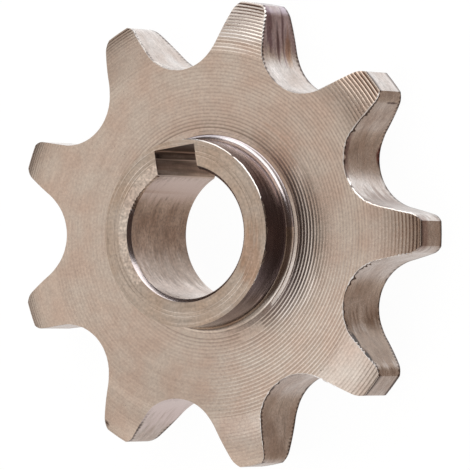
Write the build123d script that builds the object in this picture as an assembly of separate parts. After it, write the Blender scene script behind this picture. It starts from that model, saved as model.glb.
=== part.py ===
from build123d import *
import math
import os

# Nine-tooth chain sprocket with a hub on one side, turned from one steel blank, for 15.875 mm pitch chain.
# Millimetres. The origin is on the bore axis in the middle of the disc's thickness, where the chain runs.
# +Z points towards the hub's end and +Y through the middle of the keyway. The disc's back is the flat side.

# Teeth, sized by the chain
tooth_count = 9
chain_pitch = 15.875
roller_diameter = 10.16
seat_play = 0.15  # radius of the seat over that of the roller
seat_half_angle = 57.0  # degrees of seat on each side of the gap's centre line
flank_length = 3.4  # straight part between the seat and the tooth's rounded corner
tip_height = 1.9  # from the pitch circle out to the tip circle
tip_land_width = 2.65  # turned land left on top of each tooth, measured across it

# Toothed disc
disc_thickness = 7.8
relief_height = 5.4  # from the tip circle in to where a side starts to curve away
relief_depth = 1.65  # taken off each side at the tip
relief_radius = 15.9

# Hub
hub_diameter = 20.0
hub_height = 4.9  # from the disc's front to the hub's end
hub_fillet_radius = 0.8
dish_width = 0.95  # ring faced a little lower round the bore's mouth
dish_depth = 0.08

# Bore
bore_diameter = 14.0
front_chamfer = 0.35  # at the hub's end
back_chamfer = 1.0

# Keyway, through the whole length
keyway_width = 5.0
keyway_depth = 2.3  # from the bore's wall to the keyway's floor
keyway_lag = 1.5  # degrees from the keyway round to the nearest gap's centre line

cut_overrun = 1.0  # how far a cutting shape runs past the metal

pitch_radius = chain_pitch / 2 / math.sin(math.pi / tooth_count)
tip_radius = pitch_radius + tip_height
bore_radius = bore_diameter / 2
hub_radius = hub_diameter / 2
half_disc = disc_thickness / 2
hub_end = half_disc + hub_height


def turned_blank():
    """The blank as it leaves the lathe, revolved from its half section of radius and height."""
    dish_floor = hub_end - dish_depth
    mouth_radius = bore_radius + front_chamfer
    fillet_centre = (hub_radius + hub_fillet_radius, half_disc + hub_fillet_radius)
    relief_start = tip_radius - relief_height
    half_land = half_disc - relief_depth
    with BuildPart() as blank:
        with BuildSketch(Plane.XZ):
            with BuildLine():
                back = Polyline(
                    (bore_radius, dish_floor - front_chamfer),
                    (bore_radius, back_chamfer - half_disc),
                    (bore_radius + back_chamfer, -half_disc),
                    (relief_start, -half_disc),
                )
                back_relief = RadiusArc(back @ 1, (tip_radius, -half_land), -relief_radius)
                land = Line(back_relief @ 1, (tip_radius, half_land))
                front_relief = RadiusArc(land @ 1, (relief_start, half_disc), -relief_radius)
                fillet = CenterArc(fillet_centre, hub_fillet_radius, -90, -90)
                Line(front_relief @ 1, fillet @ 0)
                Polyline(
                    fillet @ 1,
                    (hub_radius, hub_end),
                    (mouth_radius + dish_width, hub_end),
                    (mouth_radius, dish_floor),
                    back @ 0,
                )
            make_face()
        revolve(axis=Axis.Z)
    return blank.part


def tooth_gap():
    """Outline of one gap, opening towards +Y: roller seat, two flanks and the rounded corners above them."""
    land_half_angle = math.degrees(math.asin(tip_land_width / 2 / tip_radius))
    corner_angle = 90 - 180 / tooth_count + land_half_angle
    corner = Vector(tip_radius, 0).rotate(Axis.Z, corner_angle)
    top = tip_radius + cut_overrun
    with BuildSketch() as gap:
        with BuildLine():
            seat = CenterArc((0, pitch_radius), roller_diameter / 2 + seat_play, -90, seat_half_angle)
            flank = Line(seat @ 1, seat @ 1 + (seat % 1) * flank_length)
            TangentArc(flank @ 1, corner, tangent=flank % 1)
            Polyline(corner, (corner.X, top), (0, top))
            mirror(about=Plane.YZ)
        make_face()
    return gap.sketch


def sprocket():
    """The blank with its tooth gaps milled and its keyway broached."""
    with BuildPart() as body:
        add(turned_blank())
        with BuildSketch():
            with PolarLocations(0, tooth_count, start_angle=keyway_lag):
                add(tooth_gap())
        extrude(amount=half_disc + cut_overrun, both=True, mode=Mode.SUBTRACT)
        with Locations((0, 0, -half_disc - cut_overrun)):
            Box(
                keyway_width,
                bore_radius + keyway_depth,
                disc_thickness + hub_height + 2 * cut_overrun,
                align=(Align.CENTER, Align.MIN, Align.MIN),
                mode=Mode.SUBTRACT,
            )
    return body.part


os.makedirs("parts", exist_ok=True)
export_step(sprocket(), "parts/sprocket.step")
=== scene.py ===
import math

import bmesh
import bpy
from mathutils import Matrix, Vector, noise


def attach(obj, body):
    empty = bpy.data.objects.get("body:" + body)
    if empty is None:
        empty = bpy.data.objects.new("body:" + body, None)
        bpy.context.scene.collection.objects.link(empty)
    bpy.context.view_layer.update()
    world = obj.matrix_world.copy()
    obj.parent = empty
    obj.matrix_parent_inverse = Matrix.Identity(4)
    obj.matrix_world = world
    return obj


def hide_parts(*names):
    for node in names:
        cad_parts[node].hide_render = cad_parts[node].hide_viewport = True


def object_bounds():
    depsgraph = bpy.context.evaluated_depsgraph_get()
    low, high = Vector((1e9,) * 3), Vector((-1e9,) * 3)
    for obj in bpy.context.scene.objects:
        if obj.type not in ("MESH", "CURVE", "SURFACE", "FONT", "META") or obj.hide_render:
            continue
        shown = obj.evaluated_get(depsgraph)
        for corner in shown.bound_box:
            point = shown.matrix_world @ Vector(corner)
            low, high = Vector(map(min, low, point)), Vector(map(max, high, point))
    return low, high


mm = 0.001
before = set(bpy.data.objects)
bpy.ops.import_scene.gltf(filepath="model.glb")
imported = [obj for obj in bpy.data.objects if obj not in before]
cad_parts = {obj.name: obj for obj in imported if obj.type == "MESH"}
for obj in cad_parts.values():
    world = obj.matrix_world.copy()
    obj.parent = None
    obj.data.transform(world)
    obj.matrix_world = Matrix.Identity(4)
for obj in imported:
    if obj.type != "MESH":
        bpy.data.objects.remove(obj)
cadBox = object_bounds()
print("frame loaded")

# Sizes of the sprocket, in millimetres and degrees
sprocketSize = {
    "toothCount": 9,
    "chainPitch": 15.875,
    "seatRadius": 5.23,
    "seatHalfAngle": 57.0,
    "flankLength": 3.4,
    "tipHeight": 1.9,
    "tipLandWidth": 2.65,
    "discThickness": 7.8,
    "reliefHeight": 5.4,
    "reliefDepth": 1.65,
    "reliefRadius": 15.9,
    "hubRadius": 10.0,
    "hubHeight": 4.9,
    "hubFillet": 0.8,
    "dishWidth": 0.95,
    "dishDepth": 0.08,
    "boreRadius": 7.0,
    "frontChamfer": 0.35,
    "backChamfer": 1.0,
    "keyWidth": 5.0,
    "keyDepth": 2.3,
    "keyLag": 1.5,
    "overrun": 1.0,
}

# The facing tool's spiral on both sides of the disc, in millimetres and degrees
facingCut = {
    "feed": 0.38,  # per turn, along the surface
    "frontStart": 11.15,
    "frontDepth": 0.033,
    "frontExtra": -0.019,  # less deep where the tool starts, by the hub
    "extraReach": 4.0,
    "backStart": 8.6,
    "backDepth": 0.012,
    "steepShare": 0.32,  # of the feed that falls away outwards
    "faceSway": 0.25,  # how much less deep, and half of that again, away from the deep side
    "faceDeepAngle": -48.5,
    "reliefSway": 0.78,
    "reliefDeepAngle": 51.5,
    "lowToothAngle": -48.5,  # one tooth on the other side whose relief is cut deeper too
    "lowToothDepth": 0.34,
    # more dirt and painted shade in that tooth's grooves
    "lowToothGrime": 0.3,
    "tipGrowth": 1.0,  # how much deeper again at the tip, on the deep side
    "hubGrime": 2.4,  # more dirt and painted shade in the grooves round the hub, most of it on one side
    "hubGrimeAngle": 38.0,
    "tipGrime": 6.0,  # more dirt and painted shade in the grooves at the tip, on the deep side
    "grimeAngle": -28.5,  # most of the dirt and painted shade in the grooves lies on this side
    "unevenness": 0.45,
    "seed": 3.0,
    "startAngle": -63.0,
    "frontRows": 6,
    "backRows": 3,
    "segments": 240,
    "liftAngle": -71.0,  # the tool was lifted here and left a smooth patch
    "liftHalfWidth": 8.0,
    "liftRadius": 12.2,
}

# Rings that the facing tool left on the hub's end: radius and depth, in millimetres
hubRings = [(9.62, 0.018), (8.86, 0.024), (8.45, 0.022)]
hubRingWidth = 0.14
# Rings round the hub's foot: how far outside the hub and how high above the face, in millimetres. They stand
# out most towards one angle and fall off away from it, by its cosine, until only the least share is left.
hubFoot = [(1.08, 0.0), (1.02, -0.03), (0.70, 0.034), (0.62, -0.005)]
footFade = {"angle": 20.0, "from": 0.1, "span": 0.6, "least": 0.3, "height": 0.1}
filletEnd = 17.0  # degrees short of the face at which the foot cuts the fillet off
filletSteps = 8  # flats along the fillet, along half the gap's seat and along the arc up to the tip
seatSteps = 40
tipSteps = 12
mouthBreak = (0.15, 0.14)  # the bore's mouth is broken by two flats, which meet this far in and this far down
mouthDrop = 1.2  # height of the broken edge as a share of the front chamfer
# Between these angles round the bore's mouth the tool chattered. The waves' pitch is in degrees too.
chatter = {
    "angles": (84.0, 162.0),
    "fade": 34.0,
    "pitch": 3.6,
    "drift": 4.0,
    "driftScale": 0.8,
    "ripple": 0.2,
    "left": (0.04, 0.03),  # how far from the bore and below the dish it leaves the edge
}
nearby = 0.01  # millimetres within which a point counts as being on an edge
spiralJoin = 0.0000015  # metres within which points of the spiral are joined
joinSize = 0.000003  # and those of the blank
seamSize = 0.000001  # and those of the cut part
sliverSize = 0.0000005  # edges shorter than this, and points this near a straight edge, are taken out
emptySize = 1e-15  # square metres under which a face counts as empty
sharpAngle = 12.5  # degrees between faces from which an edge stays sharp

pitchRadius = sprocketSize["chainPitch"] / 2 / math.sin(math.pi / sprocketSize["toothCount"])
tipRadius = pitchRadius + sprocketSize["tipHeight"]
halfDisc = sprocketSize["discThickness"] / 2
hubEnd = halfDisc + sprocketSize["hubHeight"]


def linearColour(code):
    # sRGB hex to linear
    values = [int(code[i:i + 2], 16) / 255 for i in (1, 3, 5)]
    return [v / 12.92 if v <= 0.04045 else ((v + 0.055) / 1.055) ** 2.4 for v in values] + [1.0]


def addNode(tree, kind, inputs=None, **settings):
    # one node with its settings; an input is a value, a socket, or a node that gives its first output
    node = tree.nodes.new(kind)
    for name, value in settings.items():
        setattr(node, name, value)
    for key, value in (inputs or {}).items():
        if isinstance(value, bpy.types.Node):
            value = value.outputs[0]
        if isinstance(value, bpy.types.NodeSocket):
            tree.links.new(value, node.inputs[key])
        else:
            node.inputs[key].default_value = value
    return node


def newTree(name, sockets):
    tree = bpy.data.node_groups.new(name, "GeometryNodeTree")
    tree.interface.new_socket("Geometry", in_out="INPUT", socket_type="NodeSocketGeometry")
    for label, kind in sockets.items():
        tree.interface.new_socket(label, in_out="INPUT", socket_type=kind)
    tree.interface.new_socket("Geometry", in_out="OUTPUT", socket_type="NodeSocketGeometry")
    return tree


def runTree(tree, mesh, name, values):
    # the tree's result as a plain mesh, with no modifier left on the object
    piece = bpy.data.objects.new(name, mesh)
    bpy.context.scene.collection.objects.link(piece)
    modifier = piece.modifiers.new(tree.name, "NODES")
    modifier.node_group = tree
    for item in tree.interface.items_tree:
        if item.in_out == "INPUT" and item.name in values:
            modifier[item.identifier] = values[item.name]
    bpy.context.view_layer.update()
    result = bpy.data.meshes.new_from_object(piece.evaluated_get(bpy.context.evaluated_depsgraph_get()))
    piece.modifiers.remove(modifier)
    piece.data = result
    return piece


# How the spiral's depth, and the dirt and painted shade in its grooves, come and go, as plain numbers and as
# powers that sharpen a swing
facingShape = {
    "nudge": 0.0001,  # of a turn, so that a point on a groove's edge counts to the groove
    "liftLoss": -0.85,
    "reliefPower": 2.0,
    "tipPower": 2.0,
    "lowToothPower": 8.0,
    "lowToothLoss": -0.85,  # towards the tip
    "turnDrift": 0.77,  # how fast the noise changes from turn to turn, and round the axis
    "roundDrift": 2.1,
    "sideShadeAndDirt": 0.4,
    "sideShadeAndDirtPower": 1.5,
    "hubShadeAndDirtSwing": 0.55,
    "hubShadeAndDirtMiddle": 0.95,
    "hubShadeAndDirtPower": 3.0,
    "shadeAndDirtPower": 2.0,
}
# The spiral's arithmetic for each point of a grid: a value's name, what is done, and what it is done to. That
# is an earlier value, one of the tree's inputs, one of the numbers above or a plain number.
facingSteps = [
    ("columns", "ADD", "Segments", 1.0),
    ("lastRow", "SUBTRACT", "Rows", 1.0),
    ("rowPlace", "ADD", "across", 0.5),
    ("rowRaw", "MULTIPLY", "rowPlace", "lastRow"),
    ("row", "ROUND", "rowRaw"),
    ("turn", "ADD", "along", 0.5),
    # length along the surface from the axis, held between the groove's start and the rim
    ("rowsIn", "SUBTRACT", "row", 1.0),
    ("turnsIn", "DIVIDE", "rowsIn", "Rows Per Turn"),
    ("turnsOut", "SUBTRACT", "turnsIn", 1.0),
    ("turnsRaw", "ADD", "turnsOut", "turn"),
    ("raw", "MULTIPLY_ADD", "turnsRaw", "Feed", "Groove Start"),
    ("heldIn", "MAXIMUM", "raw", "Groove Start"),
    ("held", "MINIMUM", "heldIn", "Length"),
    ("isFirst", "LESS_THAN", "row", 0.5),
    ("fromInner", "SUBTRACT", "Inner Radius", "held"),
    ("length", "MULTIPLY_ADD", "isFirst", "fromInner", "held"),
    # flat as far as the relief, then along its arc
    ("pastFlat", "SUBTRACT", "length", "Relief Start"),
    ("past", "MAXIMUM", "pastFlat", 0.0),
    ("turned", "DIVIDE", "past", "Relief Radius"),
    ("slope", "ADD", "turned", "First Slope"),
    ("sine", "SINE", "slope"),
    ("firstSine", "SINE", "First Slope"),
    ("cosine", "COSINE", "slope"),
    ("firstCosine", "COSINE", "First Slope"),
    ("sineGain", "SUBTRACT", "sine", "firstSine"),
    ("cosineLoss", "SUBTRACT", "firstCosine", "cosine"),
    ("flatLength", "MINIMUM", "length", "Relief Start"),
    ("radius", "MULTIPLY_ADD", "Relief Radius", "sineGain", "flatLength"),
    ("drop", "MULTIPLY", "Relief Radius", "cosineLoss"),
    ("surface", "SUBTRACT", "Face Height", "drop"),
    # one groove to a turn: its steep side looks outwards, its gentle side inwards
    ("nudged", "ADD", "turnsIn", "nudge"),
    ("phase", "FRACT", "nudged"),
    ("falling", "DIVIDE", "phase", "Steep Share"),
    ("phaseLeft", "SUBTRACT", 1.0, "phase"),
    ("gentleShare", "SUBTRACT", 1.0, "Steep Share"),
    ("rising", "DIVIDE", "phaseLeft", "gentleShare"),
    ("section", "MINIMUM", "falling", "rising"),
    ("pastStart", "SUBTRACT", "Groove Start", "raw"),
    ("fade", "DIVIDE", "pastStart", "Extra Reach"),
    ("share", "EXPONENT", "fade"),
    ("depth", "MULTIPLY_ADD", "share", "Extra Depth", "Depth"),
    ("begun", "GREATER_THAN", "raw", "Groove Start"),
    ("within", "LESS_THAN", "raw", "Length"),
    ("cutting", "MULTIPLY", "begun", "within"),
    ("angle", "MULTIPLY_ADD", "turn", math.tau, "Start Angle"),
    ("angleSine", "SINE", "angle"),
    ("angleCosine", "COSINE", "angle"),
    # the smooth patch where the tool was lifted
    ("offPatch", "SUBTRACT", "angle", "Lift Angle"),
    ("offPatchTurn", "WRAP", "offPatch", math.pi, -math.pi),
    ("besidePatch", "ABSOLUTE", "offPatchTurn"),
    ("inPatchAngle", "LESS_THAN", "besidePatch", "Lift Half Width"),
    ("inPatchRadius", "LESS_THAN", "length", "Lift Radius"),
    ("lifted", "MULTIPLY", "inPatchAngle", "inPatchRadius"),
    ("left", "MULTIPLY_ADD", "lifted", "liftLoss", 1.0),
    # the disc swayed a little as it turned, so one side is cut deeper, and the relief's other side
    ("fromDeep", "SUBTRACT", "angle", "Face Deep Angle"),
    ("faceSwing", "COSINE", "fromDeep"),
    ("faceLess", "SUBTRACT", 1.0, "Face Sway"),
    ("faceSway", "MULTIPLY_ADD", "faceSwing", "Face Sway", "faceLess"),
    ("fromReliefDeep", "SUBTRACT", "angle", "Relief Deep Angle"),
    ("reliefCosine", "COSINE", "fromReliefDeep"),
    ("reliefHalf", "MAXIMUM", "reliefCosine", 0.0),
    ("reliefSwing", "POWER", "reliefHalf", "reliefPower"),
    ("reliefLess", "SUBTRACT", 1.0, "Relief Sway"),
    ("reliefEven", "MULTIPLY_ADD", "reliefSwing", "Relief Sway", "reliefLess"),
    ("reliefLength", "SUBTRACT", "Length", "Relief Start"),
    ("reliefShare", "DIVIDE", "past", "reliefLength"),
    ("tipShare", "POWER", "reliefShare", "tipPower"),
    ("tipSwing", "MULTIPLY", "tipShare", "reliefSwing"),
    ("tipGrowth", "MULTIPLY_ADD", "tipSwing", "Tip Growth", 1.0),
    # and one tooth on that other side again, less towards its tip
    ("fromLowTooth", "SUBTRACT", "angle", "Low Tooth Angle"),
    ("lowToothCosine", "COSINE", "fromLowTooth"),
    ("lowToothHalf", "MAXIMUM", "lowToothCosine", 0.0),
    ("lowToothPeak", "POWER", "lowToothHalf", "lowToothPower"),
    ("lowToothLeft", "MULTIPLY_ADD", "tipShare", "lowToothLoss", 1.0),
    ("lowToothSwing", "MULTIPLY", "lowToothPeak", "lowToothLeft"),
    ("reliefUneven", "MULTIPLY_ADD", "lowToothSwing", "Low Tooth Depth", "reliefEven"),
    ("reliefSway", "MULTIPLY", "reliefUneven", "tipGrowth"),
    ("onRelief", "GREATER_THAN", "past", 0.0),
    ("swayChange", "SUBTRACT", "reliefSway", "faceSway"),
    ("sway", "MULTIPLY_ADD", "onRelief", "swayChange", "faceSway"),
    # no two turns are cut quite alike
    ("turnNumber", "FLOOR", "nudged"),
    ("turnsCut", "ADD", "turnNumber", "turn"),
    ("noiseDepth", "MULTIPLY_ADD", "turnsCut", "turnDrift", "Seed"),
    ("noiseAcross", "MULTIPLY", "angleCosine", "roundDrift"),
    ("noiseAlong", "MULTIPLY", "angleSine", "roundDrift"),
    ("noise", "NOISE", "noiseAcross", "noiseAlong", "noiseDepth"),
    ("noiseLow", "MULTIPLY_ADD", "noise", 2.0, -1.0),
    ("uneven", "MULTIPLY_ADD", "noiseLow", "Unevenness", 1.0),
    ("sectionDepth", "MULTIPLY", "section", "depth"),
    ("cutDepth", "MULTIPLY", "sectionDepth", "cutting"),
    ("keptDepth", "MULTIPLY", "cutDepth", "left"),
    ("unevenDepth", "MULTIPLY", "keptDepth", "uneven"),
    ("groove", "MULTIPLY", "unevenDepth", "sway"),
    ("lowered", "SUBTRACT", "surface", "groove"),
    # dirt and painted shade lie deepest in the grooves: on one side, at the deep tips and round the hub
    ("fromShadeAndDirt", "SUBTRACT", "angle", "Grime Angle"),
    ("shadeAndDirtSwing", "COSINE", "fromShadeAndDirt"),
    ("shadeAndDirtHalf", "MULTIPLY_ADD", "shadeAndDirtSwing", 0.5, 0.5),
    ("shadeAndDirtSide", "POWER", "shadeAndDirtHalf", "sideShadeAndDirtPower"),
    ("shadeAndDirtSideLess", "MULTIPLY", "shadeAndDirtSide", "sideShadeAndDirt"),
    ("shadeAndDirtOut", "MULTIPLY_ADD", "tipSwing", "Tip Grime", "shadeAndDirtSideLess"),
    ("lowToothRelief", "MULTIPLY", "lowToothSwing", "onRelief"),
    ("shadeAndDirtOutLow", "MULTIPLY_ADD", "lowToothRelief", "Low Tooth Grime", "shadeAndDirtOut"),
    ("nearHub", "POWER", "share", "hubShadeAndDirtPower"),
    ("fromHubShadeAndDirt", "SUBTRACT", "angle", "Hub Grime Angle"),
    ("hubSwing", "COSINE", "fromHubShadeAndDirt"),
    ("hubSide", "MULTIPLY_ADD", "hubSwing", "hubShadeAndDirtSwing", "hubShadeAndDirtMiddle"),
    ("hubSideHeld", "MINIMUM", "hubSide", 1.0),
    ("hubPart", "MULTIPLY", "nearHub", "hubSideHeld"),
    ("shadeAndDirtShare", "MULTIPLY_ADD", "hubPart", "Hub Grime", "shadeAndDirtOutLow"),
    ("sectionSharp", "POWER", "section", "shadeAndDirtPower"),
    ("shadeAndDirtCut", "MULTIPLY", "sectionSharp", "cutting"),
    ("shadeAndDirtLeft", "MULTIPLY", "shadeAndDirtCut", "left"),
    ("shadeAndDirtUneven", "MULTIPLY", "shadeAndDirtLeft", "uneven"),
    ("grime", "MULTIPLY", "shadeAndDirtUneven", "shadeAndDirtShare"),
    ("x", "MULTIPLY", "radius", "angleCosine"),
    ("y", "MULTIPLY", "radius", "angleSine"),
    ("z", "MULTIPLY", "lowered", "Side"),
]
shareKeys = [
    "unevenness", "steepShare", "faceSway", "reliefSway", "lowToothDepth", "lowToothGrime", "tipGrowth",
    "tipGrime", "hubGrime", "seed",
]
angleKeys = [
    "startAngle", "liftAngle", "liftHalfWidth", "faceDeepAngle", "reliefDeepAngle", "lowToothAngle",
    "grimeAngle", "hubGrimeAngle",
]


def labelOf(key):
    # the tree's input for a setting, as Lift Angle for liftAngle
    return "".join(" " + letter if letter.isupper() else letter for letter in key).title()


def buildFacingTree():
    # a grid of rows by segments, wound into a spiral and lowered where the tool's point ran
    numbers = [
        "Inner Radius", "Groove Start", "Relief Start", "Relief Radius", "First Slope", "Length",
        "Face Height", "Side", "Feed", "Depth", "Extra Depth", "Extra Reach", "Lift Radius",
    ]
    numbers += [labelOf(key) for key in shareKeys + angleKeys]
    sockets = {label: "NodeSocketFloat" for label in numbers}
    sockets.update({label: "NodeSocketInt" for label in ("Rows Per Turn", "Rows", "Segments")})
    tree = newTree("spiralFacing", {**sockets, "Material": "NodeSocketMaterial"})
    given = addNode(tree, "NodeGroupInput").outputs
    grid = addNode(tree, "GeometryNodeMeshGrid", {"Vertices X": given["Rows"], "Size X": 1.0, "Size Y": 1.0})
    place = addNode(tree, "ShaderNodeSeparateXYZ", {0: addNode(tree, "GeometryNodeInputPosition")}).outputs
    value = {"across": place["X"], "along": place["Y"], **facingShape}
    value.update({socket.name: socket for socket in given})
    for name, operation, *parts in facingSteps:
        inputs = {i: value.get(part, part) for i, part in enumerate(parts)}
        if operation == "NOISE":
            cell = addNode(tree, "ShaderNodeCombineXYZ", inputs)
            value[name] = addNode(tree, "ShaderNodeTexNoise", {"Vector": cell, "Scale": 1.0, "Detail": 2.0})
        else:
            value[name] = addNode(tree, "ShaderNodeMath", inputs, operation=operation)
    tree.links.new(value["columns"].outputs[0], grid.inputs["Vertices Y"])
    moved = addNode(tree, "ShaderNodeCombineXYZ", {0: value["x"], 1: value["y"], 2: value["z"]})
    marked = addNode(tree, "GeometryNodeStoreNamedAttribute", {
        "Geometry": grid, "Name": "grime", "Value": value["grime"]})
    laid = addNode(tree, "GeometryNodeSetPosition", {"Geometry": marked, "Position": moved})
    merged = addNode(tree, "GeometryNodeMergeByDistance", {"Geometry": laid, "Distance": spiralJoin})
    real = addNode(tree, "GeometryNodeRealizeInstances", {0: merged})
    dressed = addNode(tree, "GeometryNodeSetMaterial", {"Geometry": real, "Material": given["Material"]})
    addNode(tree, "NodeGroupOutput", {0: dressed})
    return tree


def reliefArc():
    # slope where the relief starts and where it meets the tip, from its two ends and its radius
    across = sprocketSize["reliefHeight"]
    down = sprocketSize["reliefDepth"]
    chordSlope = math.atan2(down, across)
    halfTurn = math.asin(math.hypot(across, down) / 2 / sprocketSize["reliefRadius"])
    return chordSlope - halfTurn, chordSlope + halfTurn


def facedSide(tree, name, side, start, inner, depth, extra, rows, liftRadius):
    reliefStart = tipRadius - sprocketSize["reliefHeight"]
    firstSlope, lastSlope = reliefArc()
    length = reliefStart + sprocketSize["reliefRadius"] * (lastSlope - firstSlope)
    turns = math.ceil((length - start) / facingCut["feed"]) + 1
    values = {
        "Inner Radius": inner * mm,
        "Groove Start": start * mm,
        "Relief Start": reliefStart * mm,
        "Relief Radius": sprocketSize["reliefRadius"] * mm,
        "First Slope": firstSlope,
        "Length": length * mm,
        "Face Height": halfDisc * mm,
        "Side": side,
        "Feed": facingCut["feed"] * mm,
        "Depth": depth * mm,
        "Extra Depth": extra * mm,
        "Extra Reach": facingCut["extraReach"] * mm,
        "Lift Radius": liftRadius * mm,
        "Rows Per Turn": rows,
        "Rows": 2 + turns * rows,
        "Segments": facingCut["segments"],
        "Material": steels["turned"],
    }
    for key in shareKeys:
        values[labelOf(key)] = facingCut[key]
    for key in angleKeys:
        values[labelOf(key)] = math.radians(facingCut[key])
    return runTree(tree, bpy.data.meshes.new(name), name, values)


def lathe(bm, profile):
    # rings of vertices at the faced sides' angles, joined by quads
    count = facingCut["segments"]
    rings = []
    for radius, height in profile:
        ring = []
        for i in range(count):
            angle = math.radians(facingCut["startAngle"]) + math.tau * i / count
            across, along = radius * mm * math.cos(angle), radius * mm * math.sin(angle)
            ring.append(bm.verts.new((across, along, height * mm)))
        rings.append(ring)
    for lower, upper in zip(rings, rings[1:]):
        for i in range(count):
            j = (i + 1) % count
            bm.faces.new((lower[i], lower[j], upper[j], upper[i]))


def chatterMouth(bm, mouth, dishFloor):
    # along part of the bore's mouth the tool chattered, and the break of the edge is ragged and nearly gone
    size = sprocketSize
    first, last = chatter["angles"]
    for vertex in bm.verts:
        place = vertex.co / mm
        radius = place.to_2d().length
        angle = math.degrees(math.atan2(place.y, place.x))
        onBreak = nearby < radius - size["boreRadius"] and radius < mouth + nearby
        if not onBreak or place.z <= dishFloor - size["frontChamfer"] or not first < angle < last:
            continue
        share = min(1, (angle - first) / chatter["fade"], (last - angle) / chatter["fade"])
        drift = chatter["drift"] * noise.noise(place * chatter["driftScale"])
        wave = 0.5 + 0.5 * math.sin(math.tau * angle / chatter["pitch"] + drift)
        share *= 1 - wave * (1 - share) - chatter["ripple"] * wave
        newRadius = radius + (size["boreRadius"] + chatter["left"][0] - radius) * share
        newHeight = place.z
        if radius < mouth - nearby:
            newHeight += (dishFloor - chatter["left"][1] - place.z) * share
        vertex.co = Vector((place.x * newRadius / radius, place.y * newRadius / radius, newHeight)) * mm


def fadeFoot(bm):
    # the rings around the hub's foot stand out on one side only
    for vert in bm.verts:
        outside = math.hypot(vert.co.x, vert.co.y) / mm - sprocketSize["hubRadius"]
        above = vert.co.z / mm - halfDisc
        onFoot = hubFoot[-1][0] - nearby < outside < hubFoot[0][0] - nearby
        if onFoot and abs(above) < footFade["height"]:
            facing = math.cos(math.atan2(vert.co.y, vert.co.x) - math.radians(footFade["angle"]))
            share = min(1, max(footFade["least"], (facing - footFade["from"]) / footFade["span"]))
            vert.co.z = (halfDisc + above * share) * mm


def makeBlank():
    size = sprocketSize
    tree = buildFacingTree()
    filletOuter = size["hubRadius"] + size["hubFillet"]
    footOuter = size["hubRadius"] + hubFoot[0][0]
    front = facedSide(tree, "frontFace", 1.0, facingCut["frontStart"], footOuter, facingCut["frontDepth"],
                      facingCut["frontExtra"], facingCut["frontRows"], facingCut["liftRadius"])
    back = facedSide(tree, "backFace", -1.0, facingCut["backStart"], size["boreRadius"] + size["backChamfer"],
                     facingCut["backDepth"], 0.0, facingCut["backRows"], 0.0)
    bm = bmesh.new()
    bm.from_mesh(front.data)
    bm.from_mesh(back.data)
    fillet = [(size["hubRadius"] + outside, halfDisc + above) for outside, above in hubFoot]
    for i in range(filletSteps + 1):
        angle = math.radians(270 - filletEnd - (90 - filletEnd) * i / filletSteps)
        fillet.append((filletOuter + size["hubFillet"] * math.cos(angle),
                       halfDisc + size["hubFillet"] * (1 + math.sin(angle))))
    mouth = size["boreRadius"] + size["frontChamfer"]
    dishFloor = hubEnd - size["dishDepth"]
    rings = []
    for radius, depth in hubRings:
        half = hubRingWidth / 2
        rings += [(radius + half, hubEnd), (radius, hubEnd - depth), (radius - half, hubEnd)]
    lathe(bm, fillet + [(size["hubRadius"], hubEnd)] + rings + [
        (mouth + size["dishWidth"], hubEnd),
        (mouth, dishFloor),
        (mouth - mouthBreak[0], dishFloor - mouthBreak[1]),
        (size["boreRadius"], dishFloor - mouthDrop * size["frontChamfer"]),
        (size["boreRadius"], size["backChamfer"] - halfDisc),
        (size["boreRadius"] + size["backChamfer"], -halfDisc),
    ])
    chatterMouth(bm, mouth, dishFloor)
    fadeFoot(bm)
    land = halfDisc - size["reliefDepth"]
    lathe(bm, [(tipRadius, -land), (tipRadius, land)])
    bmesh.ops.remove_doubles(bm, verts=bm.verts, dist=joinSize)
    bmesh.ops.dissolve_degenerate(bm, edges=bm.edges, dist=seamSize)
    bmesh.ops.recalc_face_normals(bm, faces=bm.faces)
    openEdges = sum(1 for edge in bm.edges if len(edge.link_faces) != 2)
    print("blank faces", len(bm.faces), "open edges", openEdges)
    mesh = bpy.data.meshes.new("blank")
    bm.to_mesh(mesh)
    bm.free()
    for side in (front, back):
        bpy.data.objects.remove(side)
    blank = bpy.data.objects.new("blank", mesh)
    bpy.context.scene.collection.objects.link(blank)
    return blank


def gapOutline():
    # half the gap from its bottom out to the tooth's top corner, then both halves
    size = sprocketSize
    half = []
    for i in range(seatSteps + 1):
        angle = math.radians(-90 + size["seatHalfAngle"] * i / seatSteps)
        seat = size["seatRadius"] * Vector((math.cos(angle), math.sin(angle)))
        half.append(Vector((0, pitchRadius)) + seat)
    heading = math.radians(size["seatHalfAngle"])
    along = Vector((math.cos(heading), math.sin(heading)))
    flankEnd = half[-1] + along * size["flankLength"]
    half.append(flankEnd)
    halfTooth = math.pi / size["toothCount"]
    landAngle = math.pi / 2 - halfTooth + math.asin(size["tipLandWidth"] / 2 / tipRadius)
    corner = tipRadius * Vector((math.cos(landAngle), math.sin(landAngle)))
    chord = corner - flankEnd
    bend = heading - math.atan2(chord.y, chord.x)
    radius = chord.length / 2 / math.sin(bend)
    centre = flankEnd + radius * Vector((along.y, -along.x))
    for i in range(1, tipSteps + 1):
        angle = heading + math.pi / 2 - 2 * bend * i / tipSteps
        half.append(centre + radius * Vector((math.cos(angle), math.sin(angle))))
    half.append(Vector((corner.x, tipRadius + size["overrun"])))
    return [Vector((-p.x, p.y)) for p in reversed(half[1:])] + half


def prism(name, outline, low, high):
    bm = bmesh.new()
    bottom = [bm.verts.new((p.x * mm, p.y * mm, low * mm)) for p in outline]
    top = [bm.verts.new((p.x * mm, p.y * mm, high * mm)) for p in outline]
    bm.faces.new(bottom)
    bm.faces.new(list(reversed(top)))
    for i in range(len(outline)):
        j = (i + 1) % len(outline)
        bm.faces.new((bottom[i], top[i], top[j], bottom[j]))
    bmesh.ops.recalc_face_normals(bm, faces=bm.faces)
    mesh = bpy.data.meshes.new(name)
    bm.to_mesh(mesh)
    bm.free()
    return mesh


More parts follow.
